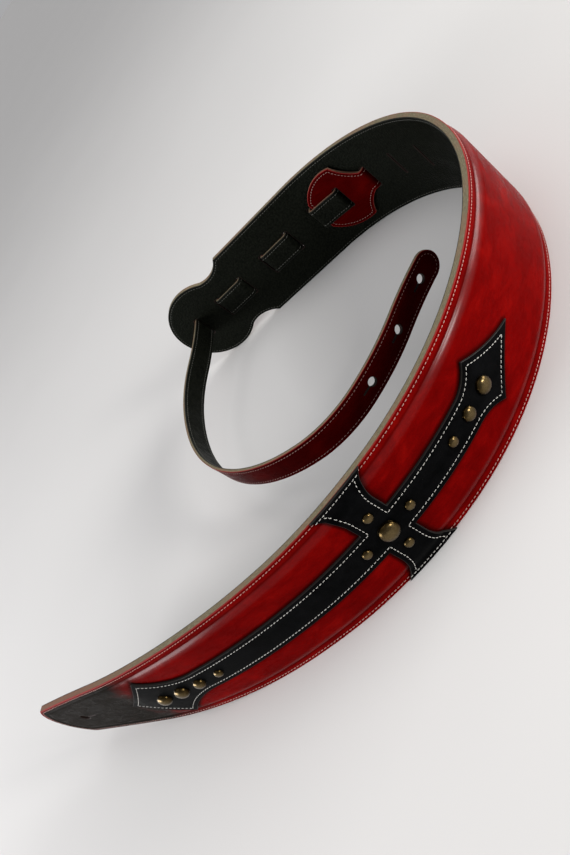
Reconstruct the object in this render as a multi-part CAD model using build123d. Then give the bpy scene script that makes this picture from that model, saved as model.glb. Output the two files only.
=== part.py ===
"""Wide padded leather guitar strap, standing on its lower edge in a loose spiral.

Plan lines run in XY and the strap's width runs up +Z. Places along the strap are arc lengths
in millimetres from its front nose, and places across it are measured from its middle line.
"""

from build123d import *
import math
import os

# ---- Driving sizes (mm, degrees) ----
STRAP_WIDTH = 76.0  # a three inch strap
MID_Z = STRAP_WIDTH / 2

TOP_THICK = 1.5  # red top leather
CORE_THICK = 1.8  # firm leather frame round the pad
LINING_THICK = 1.5  # black pebbled lining
STRAP_THICK = TOP_THICK + CORE_THICK + LINING_THICK
OUTER_FACE = STRAP_THICK / 2
INNER_FACE = -STRAP_THICK / 2
CORE_OUTER = OUTER_FACE - TOP_THICK
CORE_INNER = INNER_FACE + LINING_THICK

# The strap's plan line: where it starts, and its tangent arcs of equal length.
STRAP_START = (-239.12, 9.3)
STRAP_HEADING = -48.7
STRAP_ARC = 86.0
STRAP_TURNS = (0, 10, 12, 19, 27, 25, 30, 36, 34, 0, 0)

# Front end, which narrows to a rounded nose with the strap button hole.
NOSE_S = -2.0
NOSE_CORNER_S = 11.0
NOSE_HALF = 23.5
TAPER_END_S = 226.0
FRONT_HOLE_S = 33.0
FRONT_HOLE_R = 3.5
FRONT_SLIT = 13.0
SLIT_WIDTH = 0.8

# Far end, with a scallop on each edge and a round lobe.
SCALLOP_S = 857.0
LOBE_S = 906.0
LOBE_R = MID_Z
LOBE_JOIN_DEG = 35.0
SCALLOP_DIP = (869.5, 30.3)

# Adjusting slots. The tail is woven through the used ones.
SLOT_PITCH = 29.3
FIRST_SLOT_S = 652.0
UNUSED_SLOTS = 2
USED_SLOTS = 8
SLOT_LENGTH = 22.0
USED_SLOT_WIDTH = 4.4
UNUSED_SLOT_WIDTH = 2.4

# Pad under the top leather.
PAD_START_S = 96.0
PAD_END_S = 632.0
PAD_INSET = 9.5
PAD_THICK = 1.6
PAD_GAP = 0.25

# Stitching lines: how far in from the edge, and the thread's width and height.
STITCH_INSET = 1.9
THREAD_WIDTH = 0.6
THREAD_HEIGHT = 0.3

# Cross overlay, about its own centre.
CROSS_S = 318.0
OVERLAY_THICK = 1.2
ARM_HALF = 11.0
SIDE_ARM_HALF = 10.3
SIDE_ARM_END_HALF = 19.0
SIDE_FLARE_START = 20.0
SIDE_FLARE_BOW = 0.22  # share of the flare reached half way out
OVERLAY_STITCH_INSET = 2.7
FOOT = dict(point=-224.0, barb=-188.0, barb_half=25.5, neck=-146.0, dip=(-170.0, 14.4), flank=(-203.5, 12.8))
SPEAR = dict(point=124.0, barb=88.0, barb_half=18.8, neck=71.0, dip=(80.0, 13.2), flank=(105.5, 7.4))
HEAD_OVERLAP = 9.0  # how far a pointed end runs into the long arm
# What an outline set in by one millimetre does at its pointed ends.
POINT_SETBACK = 2.8  # the sharp point draws back
BARB_NARROWING = 1.35
FLANK_SETBACK = 0.6

# Studs: cap diameter, then places as (along the strap, across it).
STUDS = {
    "center": (12.7, [(CROSS_S, 0.0)]),
    "large": (10.3, [(CROSS_S - 188.0, 0.0), (CROSS_S - 171.0, 0.0), (CROSS_S + 85.8, 0.0)]),
    "medium": (8.6, [(CROSS_S - 154.0, 0.0), (CROSS_S + 69.8, 0.0)]),
    "small": (
        6.3,
        [(CROSS_S - 136.5, 0.0), (CROSS_S + 54.0, 0.0)]
        + [(CROSS_S + 16.7, 0.0), (CROSS_S - 16.7, 0.0), (CROSS_S, 15.6), (CROSS_S, -15.6)],
    ),
}
CAP_RISE = 0.33  # dome height over diameter
CAP_WALL = 0.45
SHANK_R = 1.1
SHANK_WALL = 0.35
SHANK_DEPTH = 2.9
BASE_R = 2.4
BASE_THICK = 0.5
POST_R = 0.7
POST_GAP = 0.05
HOLE_GAP = 0.1

# Tail, a narrow two-layer strap with a shield-shaped head.
TAIL_WIDTH = 20.0
TAIL_THICK = 2.6
TAIL_LAYER = TAIL_THICK / 2
LAY_GAP = 0.4
OUTSIDE = STRAP_THICK / 2 + TAIL_THICK / 2 + LAY_GAP
INSIDE = -OUTSIDE
OVER_HEAD = INSIDE - TAIL_THICK - LAY_GAP
WEAVE_R = 2.6
EXIT_LEVEL = -4.0
FREE_ARC = 50.0
FREE_TURNS = (-14, 20, 15, 20, 23, 22, 38, 19, -13)
FLEX_PLACE = 8.0  # from the start of the free tail to the flex line
FLEX_GAP = 1.2
TAIL_HOLE_R = 3.0
TAIL_SLIT = 9.0
TAIL_HOLES_FROM_TIP = (19.0, 55.0, 91.0)
TAIL_STITCH_INSET = 2.2

# Head, by arc length along the strap.
HEAD_END_S = 766.0
HEAD_END_HALF = 14.0
HEAD_SHOULDER = (752.0, 25.5)
HEAD_CORNER = (730.0, 27.5)
HEAD_NECK_S = 713.2
HEAD_SCALLOP = (721.0, 15.0)

THROUGH = 30.0  # length of a tool that cuts right through a wall


class PlanLine:
    """A line of tangent arcs seen from above. Right of its direction is its outer side."""

    def __init__(self, start, heading, arcs):
        self.marks = [0.0]
        self.places = [(start[0], start[1], math.radians(heading))]
        self.arcs = arcs
        for length, turn in arcs:
            self.places.append(self.advance(self.places[-1], length, math.radians(turn)))
            self.marks.append(self.marks[-1] + length)
        self.length = self.marks[-1]

    @staticmethod
    def advance(place, length, turn):
        x, y, heading = place
        chord = length if abs(turn) < 1e-9 else length * math.sin(turn / 2) / (turn / 2)
        middle = heading + turn / 2
        return (x + chord * math.cos(middle), y + chord * math.sin(middle), heading + turn)

    def at(self, s):
        """The place and heading at arc length s. Beyond the ends the line runs on straight."""
        if s <= 0:
            return self.advance(self.places[0], s, 0.0)
        for mark, place, (length, turn) in zip(self.marks, self.places, self.arcs):
            if s <= mark + length:
                return self.advance(place, s - mark, math.radians(turn) * (s - mark) / length)
        return self.advance(self.places[-1], s - self.length, 0.0)

    def bend(self, s0, s1):
        """The arcs between two arc lengths, as (length, turn in degrees) pairs."""
        stops = [s0] + [m for m in self.marks if s0 + 1e-6 < m < s1 - 1e-6] + [s1]
        return [
            (b - a, math.degrees(self.at(b)[2] - self.at(a)[2]))
            for a, b in zip(stops, stops[1:])
        ]

    def point(self, s, out):
        x, y, heading = self.at(s)
        return (x + out * math.sin(heading), y - out * math.cos(heading))

    def edges(self, s0, s1, out):
        """The line moved outwards by out, from s0 to s1."""
        made = []
        a = s0
        for length, turn in self.bend(s0, s1):
            b = a + length
            if abs(turn) < 1e-6:
                made.append(Line(self.point(a, out), self.point(b, out)))
            else:
                middle = self.point((a + b) / 2, out)
                made.append(ThreePointArc(self.point(a, out), middle, self.point(b, out)))
            a = b
        return made

    def wall(self, s0, s1, inner, outer, z0=0.0, z1=STRAP_WIDTH):
        """A wall that stands on the line, between two offsets and two heights."""
        ends = [Line(self.point(s, inner), self.point(s, outer)) for s in (s0, s1)]
        outline = self.edges(s0, s1, inner) + self.edges(s0, s1, outer) + ends
        return Pos(0, 0, z0) * extrude(make_face(outline), z1 - z0, dir=(0, 0, 1))

    def plane(self, s, out=0.0):
        """Local axes on the wall: x runs along the line, y runs up and z runs outwards."""
        x, y = self.point(s, out)
        heading = self.at(s)[2]
        along = (math.cos(heading), math.sin(heading), 0)
        outwards = (math.sin(heading), -math.cos(heading), 0)
        return Plane(origin=(x, y, MID_Z), x_dir=along, z_dir=outwards)


def prism(line, station, face):
    """A flat shape at a station, pushed right through the wall both ways."""
    return extrude(line.plane(station) * face, THROUGH, both=True)


def join(solids):
    total = solids[0]
    for solid in solids[1:]:
        total = total + solid
    return total


strap_line = PlanLine(STRAP_START, STRAP_HEADING, [(STRAP_ARC, turn) for turn in STRAP_TURNS])
STRAP_END_S = LOBE_S + LOBE_R
FRONT_STATION = STRAP_ARC
SLOTS = [FIRST_SLOT_S + SLOT_PITCH * i for i in range(UNUSED_SLOTS + USED_SLOTS)]
USED = SLOTS[UNUSED_SLOTS:]
NECK_SLOT = USED[0]
HEAD_SLOT = USED[1]


# ---- Strap outline ----
def front_face(inset):
    """Outline of the front end in local axes, set in from its edge."""
    half = MID_Z - inset
    nose = NOSE_S + inset - FRONT_STATION
    corner = NOSE_CORNER_S + inset / 2 - FRONT_STATION
    corner_half = NOSE_HALF - inset
    full = TAPER_END_S - FRONT_STATION
    far = full + STRAP_WIDTH
    middle = (corner + full) / 2
    middle_half = half - (half - corner_half) / 4
    edges = [ThreePointArc((corner, -corner_half), (nose, 0), (corner, corner_half))]
    for side in (1, -1):
        taper = ThreePointArc(
            (corner, side * corner_half), (middle, side * middle_half), (full, side * half)
        )
        edges += [taper, Line((full, side * half), (far, side * half))]
    edges.append(Line((far, half), (far, -half)))
    return make_face(edges)


def lobe_face(inset):
    """Outline of the far end in local axes about the lobe's centre, set in from its edge."""
    half = MID_Z - inset
    radius = LOBE_R - inset
    angle = math.radians(LOBE_JOIN_DEG)
    join_at = (-radius * math.sin(angle), radius * math.cos(angle))
    dip = (SCALLOP_DIP[0] - LOBE_S, SCALLOP_DIP[1] - inset)
    notch = SCALLOP_S - LOBE_S - inset / 2
    near = notch - STRAP_WIDTH
    edges = [ThreePointArc(join_at, (radius, 0), (join_at[0], -join_at[1]))]
    for side in (1, -1):
        scallop = ThreePointArc(
            (notch, side * half), (dip[0], side * dip[1]), (join_at[0], side * join_at[1])
        )
        edges += [scallop, Line((notch, side * half), (near, side * half))]
    edges.append(Line((near, half), (near, -half)))
    return make_face(edges)


def strap_layer(inner, outer, inset=0.0):
    """One whole layer of the strap between two offsets from its middle surface."""
    low = inset
    high = STRAP_WIDTH - inset
    front_end = TAPER_END_S + 4
    lobe_start = SCALLOP_S - 4
    front = strap_line.wall(NOSE_S - 1, front_end, inner, outer) & prism(
        strap_line, FRONT_STATION, front_face(inset)
    )
    middle = strap_line.wall(front_end, lobe_start, inner, outer, low, high)
    lobe = strap_line.wall(lobe_start, STRAP_END_S + 1, inner, outer) & prism(
        strap_line, LOBE_S, lobe_face(inset)
    )
    return join([front, middle, lobe])


def keyhole(line, station, radius, slit):
    """Tool for a button hole with a slit towards the strap's middle."""
    hole = Cylinder(radius, THROUGH)
    cut = Pos(slit / 2, 0, 0) * Box(slit, SLIT_WIDTH, THROUGH)
    return line.plane(station) * (hole + cut)


def slot_tools():
    tools = []
    for index, station in enumerate(SLOTS):
        width = UNUSED_SLOT_WIDTH if index < UNUSED_SLOTS else USED_SLOT_WIDTH
        tools.append(strap_line.plane(station) * Box(width, SLOT_LENGTH, THROUGH))
    return tools


def stud_places():
    return [(name, size, s, v) for name, (size, spots) in STUDS.items() for s, v in spots]


def stud_holes(radius):
    tools = []
    for _, _, s, v in stud_places():
        spot = Pos(0, v, THROUGH / 2 + CORE_INNER + HOLE_GAP)
        tools.append(strap_line.plane(s) * spot * Cylinder(radius, THROUGH))
    return tools


def cut_all(solid, tools):
    for tool in tools:
        solid = solid - tool
    return solid


def pad_solid(gap, inner, outer):
    """The space of the pad, or the pad itself with a gap all round."""
    start = PAD_START_S + gap
    end = PAD_END_S - gap
    inset = PAD_INSET + gap
    front_end = TAPER_END_S + 4
    front = strap_line.wall(start, front_end, inner, outer) & prism(
        strap_line, FRONT_STATION, front_face(inset)
    )
    rest = strap_line.wall(front_end, end, inner, outer, inset, STRAP_WIDTH - inset)
    return front + rest


# ---- Strap layers ----
def make_top_leather():
    solid = strap_layer(CORE_OUTER, OUTER_FACE)
    tools = slot_tools() + [keyhole(strap_line, FRONT_HOLE_S, FRONT_HOLE_R, FRONT_SLIT)]
    return cut_all(solid, tools + stud_holes(SHANK_R + HOLE_GAP))


def make_core_leather():
    solid = strap_layer(CORE_INNER, CORE_OUTER)
    tools = slot_tools() + [keyhole(strap_line, FRONT_HOLE_S, FRONT_HOLE_R, FRONT_SLIT)]
    return cut_all(solid, tools + [pad_solid(0.0, CORE_INNER - 1, CORE_OUTER + 1)])


def make_pad():
    middle = (CORE_INNER + CORE_OUTER) / 2
    solid = pad_solid(PAD_GAP, middle - PAD_THICK / 2, middle + PAD_THICK / 2)
    return cut_all(solid, stud_holes(BASE_R + HOLE_GAP))


def make_lining():
    solid = strap_layer(INNER_FACE, CORE_INNER)
    tools = slot_tools() + [keyhole(strap_line, FRONT_HOLE_S, FRONT_HOLE_R, FRONT_SLIT)]
    return cut_all(solid, tools)


def thread_ring(inner, outer):
    """Thread laid on one face all round the strap's edge."""
    return strap_layer(inner, outer, STITCH_INSET) - strap_layer(
        inner - 1, outer + 1, STITCH_INSET + THREAD_WIDTH
    )


def make_edge_stitching():
    outside = thread_ring(OUTER_FACE, OUTER_FACE + THREAD_HEIGHT)
    half = SIDE_ARM_END_HALF + 1
    covered = strap_line.wall(CROSS_S - half, CROSS_S + half, 0, THROUGH)
    inside = thread_ring(INNER_FACE - THREAD_HEIGHT, INNER_FACE)
    return [outside - covered, inside]


# ---- Cross overlay ----
def head_outline(shape, arm_half):
    """Pointed end of the overlay in axes about the cross centre: barbs with concave flanks."""
    edges = []
    root = shape["neck"] - math.copysign(HEAD_OVERLAP, shape["point"])
    for side in (1, -1):
        barb = (shape["barb"], side * shape["barb_half"])
        neck = (shape["neck"], side * arm_half)
        dip = (shape["dip"][0], side * shape["dip"][1])
        flank = (shape["flank"][0], side * shape["flank"][1])
        edges += [ThreePointArc(neck, dip, barb), ThreePointArc(barb, flank, (shape["point"], 0))]
        edges.append(Line(neck, (root, side * arm_half)))
    edges.append(Line((root, arm_half), (root, -arm_half)))
    return make_face(edges)


def side_arms_outline(root_half, end_half, reach):
    """Both side arms, which flare out to the strap's edges."""
    edges = []
    bow = (SIDE_FLARE_START + reach) / 2
    for u in (1, -1):
        for v in (1, -1):
            root = (u * root_half, v * SIDE_FLARE_START)
            bowed = root_half + (end_half - root_half) * SIDE_FLARE_BOW
            middle = (u * bowed, v * bow)
            edges.append(ThreePointArc(root, middle, (u * end_half, v * reach)))
        edges.append(Line((u * root_half, -SIDE_FLARE_START), (u * root_half, SIDE_FLARE_START)))
    for v in (1, -1):
        edges.append(Line((-end_half, v * reach), (end_half, v * reach)))
    return make_face(edges)


def overlay_solid(inset, inner, outer):
    """The overlay's solid, with its outline set in by inset."""
    arm = ARM_HALF - inset
    parts = []
    for shape in (FOOT, SPEAR):
        away = math.copysign(1, shape["point"])
        small = dict(shape)
        small["point"] = shape["point"] - away * inset * POINT_SETBACK
        small["barb_half"] = shape["barb_half"] - inset * BARB_NARROWING
        small["dip"] = (shape["dip"][0], shape["dip"][1] - inset)
        flank_along = shape["flank"][0] - away * inset * FLANK_SETBACK
        small["flank"] = (flank_along, shape["flank"][1] - inset)
        root = small["neck"] - away * (HEAD_OVERLAP + 2)
        start = CROSS_S + min(small["point"], root)
        end = CROSS_S + max(small["point"], root)
        station = CROSS_S + small["barb"]
        outline = Pos(-small["barb"], 0) * head_outline(small, arm)
        parts.append(
            strap_line.wall(start, end, inner, outer) & prism(strap_line, station, outline)
        )
    low_s = CROSS_S + FOOT["neck"]
    high_s = CROSS_S + SPEAR["neck"]
    parts.append(strap_line.wall(low_s, high_s, inner, outer, MID_Z - arm, MID_Z + arm))
    sides = side_arms_outline(SIDE_ARM_HALF - inset, SIDE_ARM_END_HALF - inset, MID_Z - inset)
    reach = SIDE_ARM_END_HALF + 2
    parts.append(
        strap_line.wall(CROSS_S - reach, CROSS_S + reach, inner, outer)
        & prism(strap_line, CROSS_S, sides)
    )
    return join(parts)


def make_overlay():
    solid = overlay_solid(0.0, OUTER_FACE, OUTER_FACE + OVERLAY_THICK)
    return cut_all(solid, stud_holes(SHANK_R + HOLE_GAP))


def make_overlay_stitching():
    low = OUTER_FACE + OVERLAY_THICK
    outer = overlay_solid(OVERLAY_STITCH_INSET, low, low + THREAD_HEIGHT)
    inner = overlay_solid(OVERLAY_STITCH_INSET + THREAD_WIDTH, low - 1, low + 1)
    return outer - inner


# ---- Studs ----
def stud_cap(size):
    """Hollow dome with a tubular shank, standing on its rim with its shank down -Z."""
    rise = size * CAP_RISE
    radius = (size**2 / 4 + rise**2) / (2 * rise)
    dome = Pos(0, 0, rise - radius) * (Sphere(radius) - Sphere(radius - CAP_WALL))
    dome = dome & Pos(0, 0, rise / 2) * Cylinder(size, rise)
    depth = SHANK_DEPTH + rise - CAP_WALL / 2
    place = Pos(0, 0, rise - CAP_WALL / 2 - depth / 2)
    shank = place * (Cylinder(SHANK_R, depth) - Cylinder(SHANK_R - SHANK_WALL, depth))
    return dome + shank


def stud_base():
    """Flange and post that hold the cap's shank from behind."""
    flange = Pos(0, 0, BASE_THICK / 2) * Cylinder(BASE_R, BASE_THICK)
    post = Pos(0, 0, BASE_THICK + SHANK_DEPTH / 2) * Cylinder(POST_R, SHANK_DEPTH)
    return flange + post


def make_studs(name):
    size, spots = STUDS[name]
    face = OUTER_FACE + OVERLAY_THICK
    base_level = face - SHANK_DEPTH - BASE_THICK - POST_GAP
    caps = []
    bases = []
    for s, v in spots:
        plane = strap_line.plane(s)
        caps.append(plane * Pos(0, v, face) * stud_cap(size))
        bases.append(plane * Pos(0, v, base_level) * stud_base())
    return caps, bases


# ---- Tail ----
def quarter(side, delta):
    """A quarter turn of the weave, to the left for side 1, on a strap that turns by delta."""
    return (WEAVE_R * math.pi / 2, side * 90.0 + delta)


def run(a, b, level):
    """A run of the tail beside the strap from a to b, at an offset from its middle surface."""
    arcs = []
    for length, turn in strap_line.bend(min(a, b), max(a, b)):
        moved = length + math.radians(turn) * level
        arcs.append((moved, turn))
    if b < a:
        arcs = [(length, -turn) for length, turn in reversed(arcs)]
    return arcs


def slot_bend(station):
    """How far the strap turns in one weave radius beside a slot."""
    return math.degrees(strap_line.at(station + WEAVE_R)[2] - strap_line.at(station)[2])


def weave():
    """The tail's arcs from the end of its head to where it leaves the last slot."""
    levels = [OUTSIDE, OVER_HEAD, OUTSIDE, INSIDE, OUTSIDE, INSIDE, OUTSIDE]
    delta = slot_bend(NECK_SLOT)
    arcs = run(HEAD_END_S, NECK_SLOT + WEAVE_R, INSIDE)
    arcs += [quarter(1, -delta), (OUTSIDE - INSIDE - 2 * WEAVE_R, 0.0), quarter(1, delta)]
    for index, level in enumerate(levels):
        here = USED[index]
        there = USED[index + 1]
        arcs += run(here + WEAVE_R, there - WEAVE_R, level)
        delta = slot_bend(there)
        if index == len(levels) - 1:
            arcs += [quarter(1, delta), (level - WEAVE_R - EXIT_LEVEL, 0.0)]
            break
        step = levels[index + 1] - level
        inwards = 1 if step < 0 else -1
        arcs += [quarter(inwards, delta), (abs(step) - 2 * WEAVE_R, 0.0), quarter(-inwards, delta)]
    return arcs


WOVEN_ARCS = weave()
WOVEN_LENGTH = sum(length for length, _ in WOVEN_ARCS)
TAIL_START = strap_line.point(HEAD_END_S, INSIDE)
TAIL_HEADING = math.degrees(strap_line.at(HEAD_END_S)[2]) + 180.0
tail_line = PlanLine(TAIL_START, TAIL_HEADING, WOVEN_ARCS + [(FREE_ARC, t) for t in FREE_TURNS])
FLEX_S = WOVEN_LENGTH + FLEX_PLACE
TAIL_END_S = tail_line.length


def tail_wall(s0, s1, inner, outer, inset=0.0):
    half = TAIL_WIDTH / 2 - inset
    return tail_line.wall(s0, s1, inner, outer, MID_Z - half, MID_Z + half)


def head_face(inset):
    """Shield outline of the head in local axes about the head's own slot."""
    neck_half = TAIL_WIDTH / 2 - inset
    neck = HEAD_NECK_S - HEAD_SLOT
    end = HEAD_END_S - inset - HEAD_SLOT
    end_half = HEAD_END_HALF - inset * 0.7
    corner = (HEAD_CORNER[0] - HEAD_SLOT + inset * 0.6, HEAD_CORNER[1] - inset * 1.2)
    scallop = (HEAD_SCALLOP[0] - HEAD_SLOT, HEAD_SCALLOP[1] - inset * 1.2)
    shoulder = (HEAD_SHOULDER[0] - HEAD_SLOT - inset / 3, HEAD_SHOULDER[1] - inset)
    edges = []
    for v in (1, -1):
        corner_point = (corner[0], v * corner[1])
        edges.append(
            ThreePointArc((neck, v * neck_half), (scallop[0], v * scallop[1]), corner_point)
        )
        edges.append(
            ThreePointArc(corner_point, (shoulder[0], v * shoulder[1]), (end, v * end_half))
        )
    edges.append(Line((end, end_half), (end, -end_half)))
    edges.append(Line((neck, neck_half), (neck, -neck_half)))
    return make_face(edges)


def head_solid(inner, outer, inset=0.0):
    length = HEAD_END_S - NECK_SLOT - WEAVE_R
    plate = tail_line.wall(0.0, length + 0.5, inner, outer)
    return plate & prism(strap_line, HEAD_SLOT, head_face(inset))


def make_woven(inner, outer):
    """One layer of the tail from its head to the flex line."""
    start = HEAD_END_S - HEAD_NECK_S - 1.0
    strip = tail_wall(start, FLEX_S - FLEX_GAP / 2, inner, outer)
    slot = strap_line.plane(HEAD_SLOT) * Pos(0, 0, -THROUGH / 2)
    tool = slot * Box(USED_SLOT_WIDTH, SLOT_LENGTH, THROUGH)
    head = head_solid(inner, outer) - tool
    return head + strip


def tail_end_face(inset):
    """Rounded tip of the tail in local axes about the tip's centre."""
    half = TAIL_WIDTH / 2 - inset
    near = -3 * TAIL_WIDTH
    edges = [ThreePointArc((0, half), (half, 0), (0, -half))]
    for v in (1, -1):
        edges.append(Line((0, v * half), (near, v * half)))
    edges.append(Line((near, half), (near, -half)))
    return make_face(edges)


def free_wall(inner, outer, inset=0.0):
    """One layer of the free tail with its rounded tip."""
    tip = TAIL_END_S - TAIL_WIDTH / 2
    start = FLEX_S + FLEX_GAP / 2
    body = tail_wall(start, tip - TAIL_WIDTH, inner, outer, inset)
    end = tail_line.wall(tip - TAIL_WIDTH, TAIL_END_S, inner, outer)
    return body + (end & prism(tail_line, tip, tail_end_face(inset)))


def tail_hole_stations():
    return [TAIL_END_S - back for back in TAIL_HOLES_FROM_TIP]


def make_free(inner, outer):
    tools = []
    for station in tail_hole_stations():
        hole = Cylinder(TAIL_HOLE_R, THROUGH)
        slit = Pos(-TAIL_SLIT / 2, 0, 0) * Box(TAIL_SLIT, SLIT_WIDTH, THROUGH)
        tools.append(tail_line.plane(station) * (hole + slit))
    return cut_all(free_wall(inner, outer), tools)


def make_free_stitching():
    low = TAIL_LAYER
    high = TAIL_LAYER + THREAD_HEIGHT
    outer = free_wall(low, high, TAIL_STITCH_INSET)
    inner = free_wall(low - 1, high + 1, TAIL_STITCH_INSET + THREAD_WIDTH)
    start = FLEX_S + FLEX_GAP / 2
    return outer - inner - tail_wall(start - 1, start + 1, low - 1, high + 1)


def make_head_stitching():
    """Thread laid round the tail's head, on its red face."""
    low = TAIL_LAYER
    high = TAIL_LAYER + THREAD_HEIGHT
    head = head_solid(low, high, TAIL_STITCH_INSET)
    window = head_solid(low - 1, high + 1, TAIL_STITCH_INSET + THREAD_WIDTH)
    return head - window


# ---- Write every node ----
def collect():
    nodes = {
        "top_leather": make_top_leather(),
        "core_leather": make_core_leather(),
        "foam_pad": make_pad(),
        "lining_leather": make_lining(),
        "edge_stitching": make_edge_stitching(),
        "cross_overlay": make_overlay(),
        "overlay_stitching": make_overlay_stitching(),
        "tail_woven_leather": make_woven(0.0, TAIL_LAYER),
        "tail_woven_lining": make_woven(-TAIL_LAYER, 0.0),
        "tail_head_stitching": make_head_stitching(),
        "tail_free_leather": make_free(0.0, TAIL_LAYER),
        "tail_free_lining": make_free(-TAIL_LAYER, 0.0),
        "tail_free_stitching": make_free_stitching(),
    }
    for name in STUDS:
        caps, bases = make_studs(name)
        nodes["stud_cap_" + name] = caps
        nodes["stud_base_" + name] = bases
    return nodes


def solids_of(made):
    shapes = made if isinstance(made, list) else [made]
    return [solid for shape in shapes for solid in shape.solids()]


def report_places():
    """Print the places that the record states, in metres."""
    hole_x, hole_y = strap_line.point(FRONT_HOLE_S, 0.0)
    print("front hole", hole_x / 1000, hole_y / 1000, strap_line.at(FRONT_HOLE_S)[2])
    for station in tail_hole_stations():
        x, y = tail_line.point(station, 0.0)
        print("tail hole", x / 1000, y / 1000, tail_line.at(station)[2])
    print("flex", tail_line.point(FLEX_S, 0.0))
    print("tail length from the last slot", TAIL_END_S - WOVEN_LENGTH)


def main():
    os.makedirs("parts", exist_ok=True)
    low = [1e9, 1e9, 1e9]
    high = [-1e9, -1e9, -1e9]
    for name, made in collect().items():
        shape = Compound(children=solids_of(made))
        export_step(shape, f"parts/{name}.step")
        box = shape.bounding_box()
        low = [min(a, b) for a, b in zip(low, tuple(box.min))]
        high = [max(a, b) for a, b in zip(high, tuple(box.max))]
        print(name, len(shape.solids()), round(shape.volume))
    print("box", low, high)
    report_places()


main()
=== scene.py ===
"""Wide padded leather guitar strap, standing on its lower edge in a loose spiral.

Every leather piece is drawn flat, as it is cut: s runs along it, v across it and out towards
its outer face, in millimetres. A PlanLine then bends the flat piece onto its place, in metres.
"""

import math
import random

import bpy
import numpy as np
from mathutils import Matrix, Vector
from mathutils.geometry import delaunay_2d_cdt
from mathutils.kdtree import KDTree

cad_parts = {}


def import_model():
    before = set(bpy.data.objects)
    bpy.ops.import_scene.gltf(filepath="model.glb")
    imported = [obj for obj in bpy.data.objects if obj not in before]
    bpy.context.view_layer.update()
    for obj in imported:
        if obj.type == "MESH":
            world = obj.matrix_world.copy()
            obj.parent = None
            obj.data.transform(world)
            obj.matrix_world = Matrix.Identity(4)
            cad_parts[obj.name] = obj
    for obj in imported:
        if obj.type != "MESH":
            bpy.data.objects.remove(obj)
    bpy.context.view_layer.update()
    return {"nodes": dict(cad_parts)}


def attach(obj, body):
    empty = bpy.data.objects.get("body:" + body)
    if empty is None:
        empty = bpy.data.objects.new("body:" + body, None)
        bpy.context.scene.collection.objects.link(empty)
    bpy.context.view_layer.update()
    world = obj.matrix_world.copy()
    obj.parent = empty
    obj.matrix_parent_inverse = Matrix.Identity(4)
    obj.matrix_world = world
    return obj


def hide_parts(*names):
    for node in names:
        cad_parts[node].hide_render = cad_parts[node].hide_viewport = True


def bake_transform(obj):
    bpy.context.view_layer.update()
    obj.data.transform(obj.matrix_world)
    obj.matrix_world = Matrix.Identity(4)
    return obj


MM = 0.001

# ---- Strap sizes, as in the CAD model (mm, degrees) ----
MID_Z = 38.0
HALF_WIDTH = 38.0
OUTER_FACE = 2.4
INNER_FACE = -2.4
CORE_OUTER = 0.9
CORE_INNER = -0.9
STRAP_START = (-239.12, 9.3)
STRAP_HEADING = -48.7
STRAP_ARC = 86.0
STRAP_TURNS = (0, 10, 12, 19, 27, 25, 30, 36, 34, 0, 0)

NOSE = (-2.0, 0.0)
NOSE_CORNER = (11.0, 23.5)
TAPER_MIDDLE = (118.5, 34.4)
TAPER_END_S = 226.0
SCALLOP_S = 857.0
SCALLOP_DIP = (869.5, 30.3)
LOBE_JOIN = (884.2, 31.1)
STRAP_END_S = 944.0

FRONT_HOLE_S = 33.0
FRONT_HOLE_R = 3.5
FRONT_SLIT = 13.0
SLIT_WIDTH = 0.8
UNUSED_SLOTS = (652.0, 681.3)
USED_SLOTS = (710.6, 739.9, 769.2, 798.5, 827.8, 857.1, 886.4, 915.7)
SLOT_LENGTH = 22.0
USED_SLOT_WIDTH = 4.4
SLOT_CORNER_R = 1.1
UNUSED_SLOT_WIDTH = 1.5  # pressed nearly shut, narrower than in the CAD model

# ---- Pad and crown of the red leather ----
PAD_START_S = 96.0
PAD_END_S = 632.0
PAD_INSET = 9.5
PAD_FADE_IN = (90.0, 122.0)
PAD_FADE_OUT = (610.0, 638.0)
PAD_SIDE_GAP = 0.4
PAD_GAP = 0.05
LAYER_GAP = 0.02
CROWN = 2.1
CROWN_FOOT = 6.1
CROWN_TOP = 13.2
CROWN_POWER = 2.2
GROOVE_AT = 5.8
PRESS_REACH = 2.4
PRESS_SHARE = 0.12
PRESS_DEPTH = 0.30

# ---- Stitching ----
EDGE_STITCH = 2.2
OVERLAY_STITCH = 3.0
TAIL_STITCH = 2.5
STITCH_PITCH = 2.55
STITCH_GAP = 0.12
STITCH_CORNER = 28.0
STITCH_SIDES = 6
STITCH_LEAN = (4.0, 2.5)
STITCH_SIZES = (0.86, 0.96)

# ---- Pressed lines: distance from the edge, width and depth ----
RIDGE_GROOVE = (GROOVE_AT, 0.9, 0.28)
EDGE_GROOVE = (EDGE_STITCH, 0.6, 0.22)
ARM_GROOVE = (EDGE_STITCH, 0.6, 0.20)
LINING_GROOVE = (EDGE_STITCH, 0.6, 0.18)
OVERLAY_GROOVE = (OVERLAY_STITCH, 0.6, 0.20)
TAIL_GROOVE = (TAIL_STITCH, 0.55, 0.14)
TAIL_LINING_GROOVE = (TAIL_STITCH, 0.55, 0.12)

# ---- Rounding of cut edges, at each sheet's outer and inner face ----
RED_ROUND = (0.55, 0.08)
CORE_ROUND = (0.10, 0.10)
PAD_ROUND = (0.5, 0.3)
LINING_ROUND = (0.08, 0.45)
OVERLAY_ROUND = (0.45, 0.1)
TAIL_ROUND = (0.40, 0.06)
TAIL_LINING_ROUND = (0.06, 0.40)
ROUND_STEPS = 4

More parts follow.
